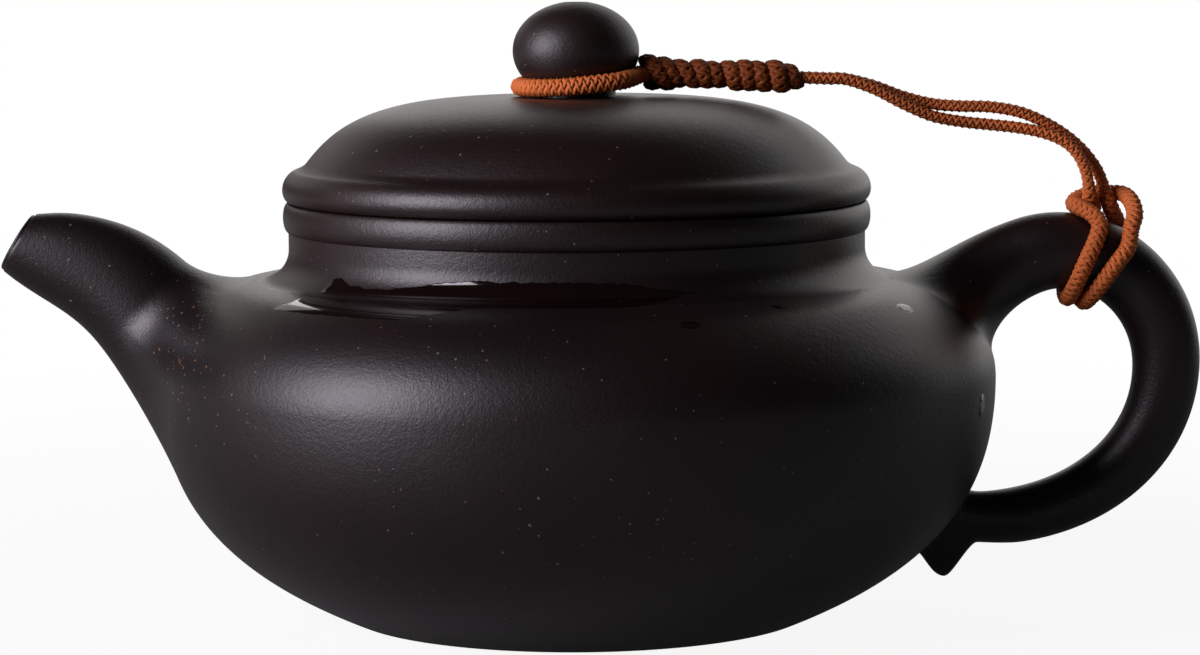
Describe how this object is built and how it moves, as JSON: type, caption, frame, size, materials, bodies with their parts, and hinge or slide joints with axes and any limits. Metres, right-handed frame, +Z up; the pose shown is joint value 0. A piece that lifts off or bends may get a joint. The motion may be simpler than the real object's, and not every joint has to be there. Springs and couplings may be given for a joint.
{
  "type": "clay teapot",
  "caption": "Round dark clay teapot with a short curved spout, an ear handle and a domed lift-off lid that a braided cord ties to the handle.",
  "frame": {"origin": "middle of the flat base, on the axis of the belly, neck and lid", "axes": "+Z up along the axis of the pot, +X towards the handle, -X towards the spout"},
  "size_m": [0.1458, 0.1014, 0.0741],
  "materials": {
    "clay": "satin, unglazed and burnished",
    "cord": "braided cord"
  },
  "bodies": {
    "pot": {"base_disc": "clay", "belly_wall": "clay", "shoulder_disc": "clay", "neck_ring": "clay", "mouth_bead": "clay", "spout": "clay", "strainer": "clay", "handle": "clay", "cord_hitch": "cord"},
    "tether": {"cord_noose": "cord", "cord_strand_outer": "cord", "cord_strand_inner": "cord"},
    "whipping": {"cord_whipping": "cord"},
    "lid": {"lid_rim": "clay", "lid_dome": "clay", "lid_flange": "clay", "knob": "clay"}
  },
  "joints": [
    {"name": "lid_lift", "type": "slide", "parent": "pot", "child": "tether", "axis": [0, 0, 1], "range_m": [0, 0.012], "deforming": ["cord_strand_outer", "cord_strand_inner"]},
    {"name": "lid_turn", "type": "hinge", "parent": "tether", "child": "lid", "pos_m": [0, 0, 0.0503], "axis": [0, 0, 1], "continuous": true},
    {"name": "whipping_slide", "type": "slide", "parent": "tether", "child": "whipping", "axis": [0.9992, 0, -0.04], "range_m": [0, 0.003]}
  ]
}
